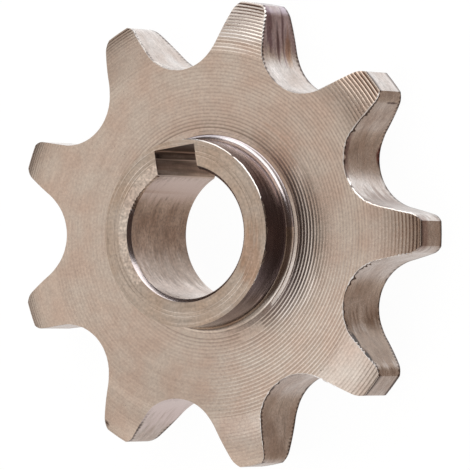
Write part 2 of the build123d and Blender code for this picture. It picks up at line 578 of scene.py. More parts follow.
def buildRoundTree():
    tree = newTree("roundTheAxis", {
        "Count": "NodeSocketInt",
        "First Angle": "NodeSocketFloat",
        "Material": "NodeSocketMaterial",
    })
    given = addNode(tree, "NodeGroupInput").outputs
    points = addNode(tree, "GeometryNodePoints", {"Count": given["Count"]})
    step = addNode(tree, "ShaderNodeMath", {0: math.tau, 1: given["Count"]}, operation="DIVIDE")
    index = addNode(tree, "GeometryNodeInputIndex")
    angle = addNode(tree, "ShaderNodeMath", {
        0: index, 1: step, 2: given["First Angle"]}, operation="MULTIPLY_ADD")
    turn = addNode(tree, "ShaderNodeCombineXYZ", {2: angle})
    placed = addNode(tree, "GeometryNodeInstanceOnPoints", {
        "Points": points, "Instance": given["Geometry"], "Rotation": turn})
    real = addNode(tree, "GeometryNodeRealizeInstances", {0: placed})
    dressed = addNode(tree, "GeometryNodeSetMaterial", {"Geometry": real, "Material": given["Material"]})
    addNode(tree, "NodeGroupOutput", {0: dressed})
    return tree


def cutAway(piece, cutter):
    modifier = piece.modifiers.new("cut", "BOOLEAN")
    modifier.operation = "DIFFERENCE"
    modifier.solver = "MANIFOLD"
    modifier.object = cutter
    bpy.context.view_layer.update()
    result = bpy.data.meshes.new_from_object(piece.evaluated_get(bpy.context.evaluated_depsgraph_get()))
    piece.modifiers.remove(modifier)
    piece.data = result
    bpy.data.objects.remove(cutter)


# Lips of torn and rolled metal along edges, in millimetres and degrees. A lip on a gap lies on one side of it
# and runs from one share of the way between its bottom and the tooth's tip to another; one on the hub runs
# between two angles. Its shoulder and its skirt are given as how far they stand out of the edge and how far
# they lie below it. Noise makes it ragged, and the grooves that run out over the edge notch it by its beat.
lipShapes = {
    "curled": {"shoulder": (0.10, 0.12), "skirt": (0.07, 0.24)},
    "jagged": {"shoulder": (0.07, 0.01), "skirt": (0.17, 0.22)},
    "fine": {"shoulder": (0.05, 0.02), "skirt": (0.08, 0.18)},
    "beaded": {"shoulder": (0.06, 0.01), "skirt": (0.13, 0.16)},
    "torn": {"shoulder": (0.17, 0.05), "skirt": (0.23, 0.17)},
    "rolled": {"shoulder": (0.11, 0.17), "skirt": (0.06, 0.28)},
    "worn": {"shoulder": (0.10, 0.12), "skirt": (0.06, 0.21)},
    "thin": {"shoulder": (0.04, 0.05), "skirt": (0.05, 0.14)},
}
edgeLips = [
    {"gap": 11.5, "side": 1, "way": (0.0, 1.0), "shape": "curled", "ragged": 0.4, "seed": 1},
    {"gap": 51.5, "side": -1, "way": (0.3, 0.97), "shape": "curled", "ragged": 0.6, "beat": 0.9, "seed": 4},
    {"gap": -28.5, "side": 1, "way": (0.12, 0.4), "shape": "jagged", "ragged": 0.8, "beat": 0.5, "seed": 2},
    {"gap": -28.5, "side": 1, "way": (0.4, 0.97), "shape": "torn", "ragged": 0.9, "beat": 0.97, "seed": 21},
    {"gap": -28.5, "side": -1, "way": (0.0, 0.45), "shape": "jagged", "ragged": 0.9, "beat": 0.6, "seed": 16},
    {"gap": -28.5, "side": -1, "way": (0.45, 0.97), "shape": "fine", "ragged": 0.9, "beat": 0.7, "seed": 12},
    {"gap": 11.5, "side": -1, "way": (0.0, 0.4), "shape": "fine", "ragged": 0.9, "beat": 0.7, "seed": 3},
    {"gap": 11.5, "side": -1, "way": (0.4, 0.98), "shape": "jagged", "ragged": 0.6, "beat": 0.3, "seed": 15},
    {"gap": 51.5, "side": 1, "way": (0.0, 0.6), "shape": "fine", "ragged": 0.9, "seed": 14},
    {"gap": -68.5, "side": 1, "way": (0.0, 0.98), "shape": "beaded", "ragged": 0.9, "beat": 0.3, "seed": 5},
    {"gap": -68.5, "side": -1, "way": (0.0, 0.7), "shape": "fine", "ragged": 0.9, "seed": 6},
    {"gap": 91.5, "side": -1, "way": (0.0, 1.0), "shape": "fine", "ragged": 0.9, "seed": 7},
    {"hub": (12, 46), "shape": "rolled", "ragged": 0.25, "seed": 9},
    {"hub": (46, 84), "shape": "worn", "ragged": 0.2, "seed": 13},
    {"hub": (-42, 12), "shape": "thin", "ragged": 0.9, "seed": 11},
]
lipStep = 0.07
lipBite = 0.05  # how far its foot is sunk in the steel
lipSunk = 0.002  # and how far below the face its top starts
lipTaper = 20  # it grows over the first twentieth of its length and dwindles over the last
lipLeast = (0.06, 0.02)  # least size as a share, before and after the noise
lipNudge = 0.000001  # millimetres, so that a point on a corner counts to the stretch after it
# Two noises run along a lip, in waves per millimetre. Its seed times the second number takes each lip to a
# line of its own in the noise, and the third is that line's height.
lipWaves = {"slow": (0.7, 7.3, 0.5), "quick": (2.6, 3.1, 9.5)}
lipSwing = 3  # how far the two together swing its size


def surfaceHeight(radius):
    # the disc's front face, flat and then falling along the relief
    past = radius - (tipRadius - sprocketSize["reliefHeight"])
    if past <= 0:
        return halfDisc
    firstSlope = reliefArc()[0]
    slope = math.asin(min(1, math.sin(firstSlope) + past / sprocketSize["reliefRadius"]))
    return halfDisc - sprocketSize["reliefRadius"] * (math.cos(firstSlope) - math.cos(slope))


def lipPath(lip):
    # points of the edge with the way out of the steel at each, evenly spaced
    if "hub" in lip:
        first, last = [math.radians(angle) for angle in lip["hub"]]
        count = int((last - first) * sprocketSize["hubRadius"] / lipStep)
        path = []
        for i in range(count + 1):
            angle = first + (last - first) * i / count
            out = Vector((math.cos(angle), math.sin(angle), 0))
            place = out * sprocketSize["hubRadius"]
            place.z = hubEnd
            path.append((place, out))
        return path
    outline = gapOutline()
    half = outline[len(outline) // 2:-1]
    lengths = [0.0]
    for a, b in zip(half, half[1:]):
        lengths.append(lengths[-1] + (b - a).length)
    turn = Matrix.Rotation(math.radians(lip["gap"] - 90), 3, "Z")
    path = []
    start, end = lip["way"]
    count = int(lengths[-1] * (end - start) / lipStep)
    for i in range(count + 1):
        way = lengths[-1] * (start + (end - start) * i / count)
        j = min(len(half) - 2, max(k for k, length in enumerate(lengths) if length <= way + lipNudge))
        share = (way - lengths[j]) / (lengths[j + 1] - lengths[j])
        place = half[j].lerp(half[j + 1], share)
        along = (half[j + 1] - half[j]).normalized()
        out = Vector((-along.y, along.x))
        place = Vector((place.x * lip["side"], place.y, 0))
        out = Vector((out.x * lip["side"], out.y, 0))
        place.z = surfaceHeight(place.length)
        path.append((turn @ place, turn @ out))
    return path


def lipNoise(lip, kind, along):
    waves, apart, height = lipWaves[kind]
    return noise.noise(Vector((along * waves, lip["seed"] * apart, height))) + 0.5


def lipRings(bm, lip):
    # the lip's cross-section at each point of the edge
    path = lipPath(lip)
    shoulder, skirt = lipShapes[lip["shape"]]["shoulder"], lipShapes[lip["shape"]]["skirt"]
    rings = []
    for i, (place, out) in enumerate(path):
        taper = min(1, lipTaper * i / len(path), lipTaper * (len(path) - 1 - i) / len(path))
        swing = lipSwing * lipNoise(lip, "slow", i * lipStep) * lipNoise(lip, "quick", i * lipStep)
        beat = 0.5 + 0.5 * math.cos(math.tau * place.to_2d().length / facingCut["feed"])
        size = max(lipLeast[0], taper * (1 - lip.get("beat", 0) * beat))
        size = max(lipLeast[1], size * (1 - lip["ragged"] + lip["ragged"] * swing))
        ring = [(-lipBite, lipSunk), (shoulder[0] * size, shoulder[1] * size),
                (skirt[0] * size, skirt[1] * size), (-lipBite, skirt[1])]
        spots = [place + out * reach - Vector((0, 0, fall)) for reach, fall in ring]
        rings.append([bm.verts.new(spot * mm) for spot in spots])
    return rings


def addLips(piece):
    bm = bmesh.new()
    bm.from_mesh(piece.data)
    made = bm.faces.layers.int.new("lip")
    for lip in edgeLips:
        rings = lipRings(bm, lip)
        faces = [bm.faces.new(rings[0]), bm.faces.new(list(reversed(rings[-1])))]
        for a, b in zip(rings, rings[1:]):
            for k in range(4):
                faces.append(bm.faces.new((a[k], b[k], b[(k + 1) % 4], a[(k + 1) % 4])))
        bmesh.ops.recalc_face_normals(bm, faces=faces)
        # a lip whose faces all look inwards has a volume below nought, and is turned
        start = rings[0][0].co
        volume = 0
        for face in faces:
            volume += (face.calc_center_median() - start).dot(face.normal) * face.calc_area()
        if volume < 0:
            bmesh.ops.reverse_faces(bm, faces=faces)
        for face in faces:
            face[made] = 1
    bm.to_mesh(piece.data)
    bm.free()
    print("lips added", len(edgeLips))


def dropStraightPoints(bm):
    # the cuts leave points on straight edges, where two long faces would fold over each other as triangles
    straight = []
    for vert in bm.verts:
        if len(vert.link_edges) == 2:
            start, end = [edge.other_vert(vert).co for edge in vert.link_edges]
            offset = (vert.co - start).cross((end - start).normalized()).length
            if offset < sliverSize:
                straight.append(vert)
    bmesh.ops.dissolve_verts(bm, verts=straight)


def countFaults(bm):
    # counted on triangles
    trial = bm.copy()
    bmesh.ops.triangulate(trial, faces=trial.faces)
    openEdges = sum(1 for edge in trial.edges if len(edge.link_faces) != 2)
    emptyFaces = sum(1 for face in trial.faces if face.calc_area() < emptySize)
    print("sprocket triangles", len(trial.faces), "open edges", openEdges, "empty faces", emptyFaces)
    trial.free()


def makeSprocket():
    size = sprocketSize
    piece = makeBlank()
    low = -halfDisc - size["overrun"]
    gap = prism("gap", gapOutline(), low, halfDisc + size["overrun"])
    gaps = runTree(buildRoundTree(), gap, "gaps", {
        "Count": size["toothCount"],
        "First Angle": math.radians(size["keyLag"]),
        "Material": steels["milled"],
    })
    cutAway(piece, gaps)
    half = size["keyWidth"] / 2
    floor = size["boreRadius"] + size["keyDepth"]
    outline = [Vector((-half, 0)), Vector((half, 0)), Vector((half, floor)), Vector((-half, floor))]
    key = bpy.data.objects.new("key", prism("key", outline, low, hubEnd + size["overrun"]))
    bpy.context.scene.collection.objects.link(key)
    cutAway(piece, key)
    bm = bmesh.new()
    bm.from_mesh(piece.data)
    bmesh.ops.remove_doubles(bm, verts=bm.verts, dist=seamSize)
    bmesh.ops.dissolve_degenerate(bm, edges=bm.edges, dist=sliverSize)
    dropStraightPoints(bm)
    countFaults(bm)
    bm.to_mesh(piece.data)
    bm.free()
    addLips(piece)
    piece.name = "sprocketBody"
    piece.data.name = "sprocketBody"
    for polygon in piece.data.polygons:
        polygon.use_smooth = True
    piece.data.set_sharp_from_angle(angle=math.radians(sharpAngle))
    return piece


# How each kind of surface was cut; colours are sRGB, lengths are millimetres. "scores" are marks drawn along
# the cut, and "fringe" the ragged dark strips under the front edge and over the back one, which are painted
# shade where the edges roll over, with some stain. Each patch in a steel's list has a ragged outline: its
# tint multiplies the steel's colour, and its colour covers it. Some patches are stains and marks, others
# painted shade or painted light.
steelFinish = {
    "turned": {
        "name": "turnedSteel",  # bare steel faced on a lathe: matt, with faint rings
        "pale": "#dbccbd",
        "warm": "#d7c1b0",
        "roughness": 0.26,
        "ringed": True,
        "streakAcross": 2.2,
        "streakAlong": 0.5,
        "streak": 0.10,
        "grain": 0.17,
        "grime": 0.34,
        "stainsAndPaintedLight": [
            {"at": (9.4, 6.7, 3.9), "reach": (2.6, 3.6, 1.0), "tint": "#f9f1ed"},  # a little rust by the hub
            {"at": (7.6, 22.6, 3.0), "reach": (4.2, 3.4, 2.6), "colour": "#e2d7cd"},  # painted highlight: one tip's bevel painted paler
            {"at": (-16.5, -18.2, 3.2), "reach": (0.45, 0.6, 0.9), "tint": "#54443d"},  # a nick
            # painted light: three patches beside the hub painted paler, against the shade of the dark hub
            # wall that the face mirrors there
            {"at": (8.4, -7.6, 3.9), "reach": (3.0, 3.0, 1.2), "colour": "#e3d7cb"},
            {"at": (10.5, -4.0, 3.9), "reach": (1.5, 2.6, 1.2), "colour": "#e9ddd2"},
            {"at": (11.4, -2.4, 3.9), "reach": (1.5, 6.5, 1.2), "colour": "#eddfd2"},  # painted paler beside the hub
        ],
    },
    "capped": {
        "name": "facedHubEnd",  # the hub's end: faced closer than the disc, with rings that catch the light
        "pale": "#d6c7b8",
        "warm": "#d0baa6",
        "roughness": 0.28,
        "ringed": True,
        "streakAcross": 3.2,
        "streakAlong": 0.3,
        "streak": 0.24,
        "grain": 0.26,
        "grime": 0.0,
        "stainsAndPaintedLight": [
            {"at": (7.6, -3.6, 8.8), "reach": (1.6, 3.4, 1.0), "tint": "#f4e4da"},  # rubbed patch
        ],
    },
    "rimmed": {
        "name": "chatteredRim",  # round the bore's mouth the tool chattered, which left it paler and rougher
        "pale": "#ffefde",
        "warm": "#f5dfcd",
        "roughness": 0.34,
        "streakAcross": 1.5,
        "streakAlong": 2.6,
        "streak": 0.34,
        "grain": 0.42,
        "stainsAndPaintedLight": [
            {"at": (6.5, -4.0, 8.7), "reach": (9.5, 9.5, 3.0), "tint": "#d9d0ca"},  # smoother on the far side
            {"at": (7.4, -3.2, 8.8), "reach": (2.2, 3.4, 1.0), "tint": "#fbf2ee"},
        ],
    },
    "milled": {
        "name": "milledSteel",  # hobbed tooth gaps: brighter, streaked along the cut
        "pale": "#ebe4e0",
        "warm": "#cfc0b7",
        "roughness": 0.26,
        "streakAcross": 1.5,
        "streakAlong": 0.4,
        "streak": 0.2,
        "grain": 0.24,
        "scores": 0.2,
        "fringe": {"front": 0.42, "back": 0.4, "tint": "#6f605b"},  # ragged dark strips along the edges: painted shade where they roll over, with some stain
        "stainsAndPaintedLight": [
            {"at": (21.6, 0.2, 0.0), "reach": (5.0, 3.0, 9.0), "tint": "#af9f96"},  # painted shade on two flanks that face away from the light
            {"at": (17.4, -14.2, 0.0), "reach": (5.0, 3.8, 9.0), "tint": "#b3a395"},
            {"at": (16.0, -13.8, 3.2), "reach": (1.1, 1.1, 0.42), "tint": "#5f524d"},  # painted shadow below a torn edge
            {"at": (17.2, -15.8, 2.75), "reach": (1.3, 1.3, 0.5), "tint": "#5f524d"},
            {"at": (-8.8, -18.2, 0.0), "reach": (3.6, 4.0, 9.0), "colour": "#e2d7d8"},  # painted light: a flank painted brighter for the light it catches
            {"at": (9.4, 20.9, 0.0), "reach": (3.5, 3.0, 9.0), "tint": "#e9e2f4"},  # heat tint
            {"at": (9.6, 19.2, 0.2), "reach": (3.0, 2.6, 0.3), "tint": "#9a8486"},  # scores along that flank
            {"at": (9.6, 20.4, 1.9), "reach": (3.0, 3.0, 0.6), "tint": "#b8a6ab"},
            {"at": (9.4, 20.2, -0.9), "reach": (3.0, 3.0, 0.3), "tint": "#ad9a9f"},
            {"at": (9.6, 18.8, -1.9), "reach": (3.0, 2.0, 0.7), "tint": "#f3dcc4"},
            {"at": (21.4, 10.8, -1.1), "reach": (0.4, 0.13, 1.3), "tint": "#7f7170"},  # a scratch by a tip
            {"at": (24.8, -3.7, 2.3), "reach": (1.6, 2.2, 2.2), "tint": "#cfc0bd"},  # darker on two tips
            {"at": (8.0, 24.2, 0.5), "reach": (2.2, 0.9, 4.5), "tint": "#bfb7bd"},
            {"at": (18.3, 5.6, 3.7), "reach": (1.6, 2.8, 0.9), "tint": "#bfaeb0"},  # painted shade: a darker strip under the face where the edge rolls over
            {"at": (17.5, 5.7, -3.9), "reach": (1.5, 1.3, 0.8), "tint": "#a1625a"},  # spot of rust
        ],
    },
    "bored": {
        "name": "boredSteel",  # the bore: finer marks round the axis, which dull it
        "pale": "#decfc6",
        "warm": "#c2aea2",
        "roughness": 0.27,
        "streakAcross": 1.7,
        "streakAlong": 0.35,
        "streak": 0.2,
        "grain": 0.34,
        "scores": 0.26,
        "stainsAndPaintedLight": [
            {"at": (-5.2, 4.7, 3.0), "reach": (0.35, 0.35, 0.2), "tint": "#6f6663"},  # a nick
            {"at": (-6.5, -2.8, 0.0), "reach": (2.4, 2.4, 9.0), "tint": "#cec7c0"},
            {"at": (-4.2, 5.6, 2.0), "reach": (2.0, 2.0, 9.0), "colour": "#cfc0ba"},
        ],
    },
    "polished": {
        "name": "polishedSteel",  # the hub's wall: finely turned and glossy, its colour painted darker for the shade it lies in
        "pale": "#c0b7bb",
        "warm": "#b2a7aa",
        "roughness": 0.2,
        "streakAcross": 2.4,
        "streakAlong": 0.15,
        "streak": 0.12,
        "grain": 0.08,
        "stainsAndPaintedLight": [
            {"at": (0.0, 0.0, 10.4), "reach": (40.0, 40.0, 5.2), "tint": "#dad7dc"},  # darker towards the rim
            # painted shade on the wall's right and lower sides, away from the light
            {"at": (9.6, -2.8, 6.3), "reach": (6.0, 8.0, 6.0), "tint": "#c6bcbc"},
            {"at": (3.0, -9.5, 6.5), "reach": (6.5, 4.0, 9.0), "tint": "#b3a294"},
        ],
    },
    "blended": {
        "name": "filletSteel",  # fillet and broken edge: smooth and bright, with broad highlights
        "pale": "#ddd3d3",
        "warm": "#d2c7c6",
        "roughness": 0.24,
        "streakAcross": 1.2,
        "streakAlong": 0.15,
        "streak": 0.1,
        "grain": 0.08,
    },
    "torn": {
        "name": "tornSteel",  # lips at the edges: fresh metal, so brighter than the rest
        "pale": "#f4f0ec",
        "warm": "#e6dcd4",
        "roughness": 0.25,
        "streakAcross": 2.0,
        "streakAlong": 2.0,
        "streak": 0.1,
        "grain": 0.1,
    },
    "broached": {
        "name": "broachedSteel",  # keyway: with lines drawn lengthwise, and painted shade that darkens it
        "pale": "#cdbbae",
        "warm": "#b7a396",
        "roughness": 0.33,
        "streakAcross": 0.2,
        "streakAlong": 2.6,
        "streak": 0.5,
        "grain": 0.2,
        "stainsAndPaintedLight": [
            {"at": (0.0, 10.4, 4.0), "reach": (6.0, 2.4, 16.0), "tint": "#918382"},  # painted shade, darkest at its floor
            {"at": (0.0, 8.0, 9.6), "reach": (4.0, 3.5, 2.6), "tint": "#9c8d8a"},  # and painted shade at the hub's end
            {"at": (-2.5, 7.6, 2.5), "reach": (0.6, 0.6, 30.0), "tint": "#e4dad5"},
            {"at": (-2.5, 9.28, 2.5), "reach": (0.6, 0.1, 30.0), "colour": "#c9b8ae"},  # rubbed lines
            {"at": (-2.5, 8.41, 2.5), "reach": (0.6, 0.07, 30.0), "colour": "#c9b8ae"},
            {"at": (-2.5, 6.62, 2.5), "reach": (0.6, 0.09, 30.0), "colour": "#e6dad4"},
        ],
    },
}


# Patterns that all the steels share, in waves per millimetre. Real grain is finer than a pixel, so it is
# drawn coarser than it is. The pairs and threes are where the noise starts to count, where it is full, and
# what is then left of the light.
steelPattern = {
    "blotch": 0.32,
    "grain": 3.4,
    "speck": 4.6,
    "ragged": 0.9,
    "roundTheAxis": 8,
    "scores": (0.45, 0.45, 3.6),
    "blotchSpan": (0.35, 0.65),
    "levelSpan": (0.3, 0.7),
    "speckSpan": (0.755, 0.80, 0.45),
    "scoreSpan": (0.56, 0.68),
    "bump": 0.25,
    "bumpHeight": 0.00002,
    # the colour that darkens the grooves' bottoms: dirt, and painted shade in the hollows
    "grime": "#73594b",
}
stainAndPaintedLightEdge = {"ragged": 1.8, "outer": 2.05, "inner": 1.5}
fringeEdge = {"fall": (0.12, 0.034), "notch": 0.14, "ragged": 2.4}  # its fall is the relief's, in millimetres


def newSurface(name):
    material = bpy.data.materials.new(name)
    material.use_nodes = True
    material.node_tree.nodes.clear()
    return material


def addLay(tree, finish, place, flat, radius):
    # the cut's own pattern, stretched along its marks
    low = finish["streakAlong"]
    high = finish["streakAcross"]
    if not finish.get("ringed"):
        return addNode(tree, "ShaderNodeVectorMath", {0: place, 1: (low, low, high)}, operation="MULTIPLY")
    # rings: fast across the radius, slow round the axis
    turns = low * steelPattern["roundTheAxis"]
    heading = addNode(tree, "ShaderNodeVectorMath", {0: flat}, operation="NORMALIZE")
    heading = addNode(tree, "ShaderNodeVectorMath", {0: heading, "Scale": turns}, operation="SCALE")
    up = addNode(tree, "ShaderNodeCombineXYZ", {2: radius})
    up = addNode(tree, "ShaderNodeVectorMath", {0: up, "Scale": high}, operation="SCALE")
    return addNode(tree, "ShaderNodeVectorMath", {0: heading, 1: up}, operation="ADD")


def addFringe(tree, fringe, colour, place, radius, ragged):
    # a dark strip of painted shade where the wall's edge rolls over, with some stain, by how far below the
    # disc's face, or above its back, a point of the wall lies
    reliefStart = tipRadius - sprocketSize["reliefHeight"]
    straight, curved = fringeEdge["fall"]
    past = addNode(tree, "ShaderNodeMath", {0: radius, 1: reliefStart}, operation="SUBTRACT")
    past = addNode(tree, "ShaderNodeMath", {0: past, 1: 0.0}, operation="MAXIMUM")
    drop = addNode(tree, "ShaderNodeMath", {0: past, 1: curved, 2: straight}, operation="MULTIPLY_ADD")
    drop = addNode(tree, "ShaderNodeMath", {0: drop, 1: past}, operation="MULTIPLY")
    edge = addNode(tree, "ShaderNodeMath", {0: halfDisc, 1: drop}, operation="SUBTRACT")
    height = addNode(tree, "ShaderNodeSeparateXYZ", {0: place}).outputs["Z"]
    # the grooves run out over the edge, so its strip is notched once to a groove
    turns = math.tau / facingCut["feed"]
    beat = addNode(tree, "ShaderNodeMath", {0: radius, 1: turns}, operation="MULTIPLY")
    beat = addNode(tree, "ShaderNodeMath", {0: beat}, operation="COSINE")
    notched = addNode(tree, "ShaderNodeMath", {
        0: beat, 1: fringeEdge["notch"], 2: ragged}, operation="MULTIPLY_ADD")
    for side, toward in (("front", 1), ("back", -1)):
        width = fringe[side]
        inside = addNode(tree, "ShaderNodeMath", {0: height, 1: -toward, 2: edge}, operation="MULTIPLY_ADD")
        inside = addNode(tree, "ShaderNodeMath", {
            0: notched, 1: -fringeEdge["ragged"] * width, 2: inside}, operation="MULTIPLY_ADD")
        share = addNode(tree, "ShaderNodeMapRange", {0: inside, 1: 0.0, 2: -width})
        colour = addNode(tree, "ShaderNodeMix", {
            0: share, 6: colour, 7: linearColour(fringe["tint"])},
            data_type="RGBA", blend_type="MULTIPLY").outputs[2]
    return colour


# a patch with a ragged outline: a stain or mark, or else painted shade or painted light, as its note says
def addStainOrPaintedLight(tree, stainOrPaintedLight, colour, place, ragged):
    away = addNode(tree, "ShaderNodeVectorMath", {0: place, 1: stainOrPaintedLight["at"]}, operation="SUBTRACT")
    away = addNode(tree, "ShaderNodeVectorMath", {0: away, 1: stainOrPaintedLight["reach"]}, operation="DIVIDE")
    away = addNode(tree, "ShaderNodeVectorMath", {0: away}, operation="LENGTH").outputs["Value"]
    away = addNode(tree, "ShaderNodeMath", {
        0: ragged, 1: stainAndPaintedLightEdge["ragged"], 2: away}, operation="MULTIPLY_ADD")
    share = addNode(tree, "ShaderNodeMapRange", {0: away, 1: stainAndPaintedLightEdge["outer"], 2: stainAndPaintedLightEdge["inner"]})
    stainOrPaintedLightColour = linearColour(stainOrPaintedLight.get("tint", stainOrPaintedLight.get("colour")))
    return addNode(tree, "ShaderNodeMix", {0: share, 6: colour, 7: stainOrPaintedLightColour},
                   data_type="RGBA", blend_type="MULTIPLY" if "tint" in stainOrPaintedLight else "MIX").outputs[2]


def makeSteel(finish):
    pattern = steelPattern
    material = newSurface(finish["name"])
    tree = material.node_tree
    place = addNode(tree, "ShaderNodeTexCoord").outputs["Object"]
    place = addNode(tree, "ShaderNodeVectorMath", {0: place, "Scale": 1 / mm}, operation="SCALE")
    flat = addNode(tree, "ShaderNodeVectorMath", {0: place, 1: (1, 1, 0)}, operation="MULTIPLY")
    radius = addNode(tree, "ShaderNodeVectorMath", {0: flat}, operation="LENGTH").outputs["Value"]
    lay = addLay(tree, finish, place, flat, radius)
    blotch = addNode(tree, "ShaderNodeTexNoise", {"Vector": place, "Scale": pattern["blotch"], "Detail": 3.0})
    streak = addNode(tree, "ShaderNodeTexNoise", {"Vector": lay, "Scale": 1.0, "Detail": 3.0})
    grain = addNode(tree, "ShaderNodeTexNoise", {"Vector": place, "Scale": pattern["grain"], "Detail": 2.0})
    speck = addNode(tree, "ShaderNodeTexNoise", {"Vector": place, "Scale": pattern["speck"], "Detail": 1.0})
    ragged = addNode(tree, "ShaderNodeTexNoise", {"Vector": lay, "Scale": pattern["ragged"], "Detail": 4.0})
    start, end = pattern["blotchSpan"]
    blend = addNode(tree, "ShaderNodeMapRange", {0: blotch, 1: start, 2: end})
    pale, warm = linearColour(finish["pale"]), linearColour(finish["warm"])
    colour = addNode(tree, "ShaderNodeMix", {0: blend, 6: pale, 7: warm}, data_type="RGBA").outputs[2]
    levels = [
        (streak, *pattern["levelSpan"], 1 - finish["streak"], 1.0),
        (grain, *pattern["levelSpan"], 1 - finish["grain"], 1.0),
        (speck, *pattern["speckSpan"][:2], 1.0, pattern["speckSpan"][2]),
    ]
    if "scores" in finish:
        drawn = addNode(tree, "ShaderNodeVectorMath", {0: place, 1: pattern["scores"]}, operation="MULTIPLY")
        mark = addNode(tree, "ShaderNodeTexNoise", {"Vector": drawn, "Scale": 1.0, "Detail": 4.0})
        levels.append((mark, *pattern["scoreSpan"], 1.0, 1 - finish["scores"]))
    for source, start, end, first, last in levels:
        level = addNode(tree, "ShaderNodeMapRange", {0: source, 1: start, 2: end, 3: first, 4: last})
        colour = addNode(tree, "ShaderNodeVectorMath", {0: colour, "Scale": level}, operation="SCALE")
    if "fringe" in finish:
        colour = addFringe(tree, finish["fringe"], colour, place, radius, ragged)
    for stainOrPaintedLight in finish.get("stainsAndPaintedLight", []):
        colour = addStainOrPaintedLight(tree, stainOrPaintedLight, colour, place, ragged)
    if finish.get("ringed"):
        # the grooves' bottoms are darkened by the share the spiral stored: dirt, and painted shade in the
        # hollows
        grime = addNode(tree, "ShaderNodeAttribute", attribute_name="grime").outputs["Fac"]
        share = addNode(tree, "ShaderNodeMath", {0: grime, 1: finish["grime"]}, operation="MULTIPLY")
        colour = addNode(tree, "ShaderNodeMix", {
            0: share, 6: colour, 7: linearColour(pattern["grime"])},
            data_type="RGBA", blend_type="MULTIPLY").outputs[2]
    relief = addNode(tree, "ShaderNodeMath", {0: streak, 1: grain}, operation="ADD")
    bump = addNode(tree, "ShaderNodeBump", {
        "Height": relief, "Strength": pattern["bump"], "Distance": pattern["bumpHeight"]})
    shader = addNode(tree, "ShaderNodeBsdfPrincipled", {
        "Base Color": colour,
        "Metallic": 1.0,
        "Roughness": finish["roughness"],
        "Normal": bump,
    })
    addNode(tree, "ShaderNodeOutputMaterial", {"Surface": shader})
    return material


# Where one steel gives way to the next: spans in degrees round the axis, lengths in millimetres, and slopes
# as how much of a face's normal points up
steelSides = {
    "brightFillet": (-4, 112),
    "chatteredEdge": (88, 150),
    "chatteredDish": (80, 215),
    "dishReach": 1.3,  # of the dish's rim, out from the bore
    "wallSlope": 0.5,  # a wall's normal points up less than this
    "footSlope": 0.96,
    "breakSlope": 0.85,
    "footReach": 0.6,
    "wallStart": 0.9,  # the hub's wall starts this share of the fillet's height above the face
    "mouthDepth": 0.6,
    "endDepth": 0.2,
    "keyStart": 0.4,  # the keyway's walls start this far inside the bore's radius
    "keySlack": 0.02,
    "slack": 0.05,  # this far inside the hub's radius still counts as on its wall
    "clear": 1.0,  # and this far from its wall or from the disc's face is well away
}


def within(angle, span):
    return (angle - span[0]) % 360 < span[1] - span[0]


def dressSides(mesh):
    # each face takes the steel of the cut that made it, told by its place and its normal
    mesh.materials.clear()
    size = sprocketSize
    limit = steelSides
    hubRadius = size["hubRadius"]
    order = list(steels)
    lips = mesh.attributes["lip"].data
    for key in order:
        mesh.materials.append(steels[key])
    for polygon in mesh.polygons:
        centre = polygon.center / mm
        radius = math.hypot(centre.x, centre.y)
        angle = math.degrees(math.atan2(centre.y, centre.x))
        slope = polygon.normal.z
        upright = abs(slope) < limit["wallSlope"]
        insideHub = radius < hubRadius - limit["slack"]
        onFoot = (hubRadius - limit["slack"] < radius < hubRadius + limit["footReach"]
                  and centre.z > halfDisc and slope < limit["footSlope"])
        onHubEnd = centre.z > halfDisc + limit["clear"]
        inMouth = centre.z > hubEnd - limit["mouthDepth"] and radius < hubRadius - limit["clear"]
        inKeyway = (abs(centre.x) < size["keyWidth"] / 2 + limit["keySlack"]
                    and centre.y > size["boreRadius"] - limit["keyStart"])
        kind = "turned"
        if lips[polygon.index].value:
            kind = "torn"
        elif upright and radius > hubRadius + limit["clear"]:
            kind = "milled"
        elif onFoot and centre.z > halfDisc + limit["wallStart"] * size["hubFillet"]:
            kind = "polished"
        elif onFoot:
            kind = "blended" if within(angle, limit["brightFillet"]) else "turned"
        elif upright and inKeyway and insideHub:
            kind = "broached"
        elif upright and not inMouth:
            kind = "bored"
        elif onHubEnd and slope < limit["breakSlope"]:
            kind = "rimmed" if within(angle, limit["chatteredEdge"]) else "blended"
        elif onHubEnd and radius < size["boreRadius"] + limit["dishReach"]:
            kind = "rimmed" if within(angle, limit["chatteredDish"]) else "capped"
        elif centre.z > hubEnd - limit["endDepth"]:
            kind = "capped"
        polygon.material_index = order.index(kind)


steels = {key: makeSteel(finish) for key, finish in steelFinish.items()}
sprocket = makeSprocket()
dressSides(sprocket.data)
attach(sprocket, "root")
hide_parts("sprocket")

# The part lies on its back face and the camera looks down on its hub side; millimetres and degrees
view = {
    "turn": 8.5,  # degrees that the keyway stands round from straight up
    "yaw": 30.949,
    "pitch": 0.856,
    "roll": 0.174,
    "aside": 2.817,
    "down": -0.103,
    "distance": 703.02,
    "lens": 503.34,
    "sensor": 36,
    "near": 50,
    "far": 20000,
}


def viewFrame():
    # right, up and towards the hub's end, as the camera sees them
    return Matrix.Translation((0, 0, halfDisc * mm)) @ Matrix.Rotation(math.radians(-view["turn"]), 4, "Z")


def makeCamera():
    camera = bpy.data.objects.new("camera", bpy.data.cameras.new("camera"))
    bpy.context.scene.collection.objects.link(camera)
    camera.data.sensor_width = view["sensor"]
    camera.data.lens = view["lens"]
    camera.data.clip_start = view["near"] * mm
    camera.data.clip_end = view["far"] * mm
    tilt = Matrix.Identity(4)
    for angle, axis in (("yaw", "Y"), ("pitch", "X"), ("roll", "Z")):
        tilt = tilt @ Matrix.Rotation(math.radians(view[angle]), 4, axis)
    away = Matrix.Translation((view["aside"] * mm, view["down"] * mm, view["distance"] * mm))
    camera.matrix_world = viewFrame() @ tilt @ away
    bpy.context.scene.camera = camera


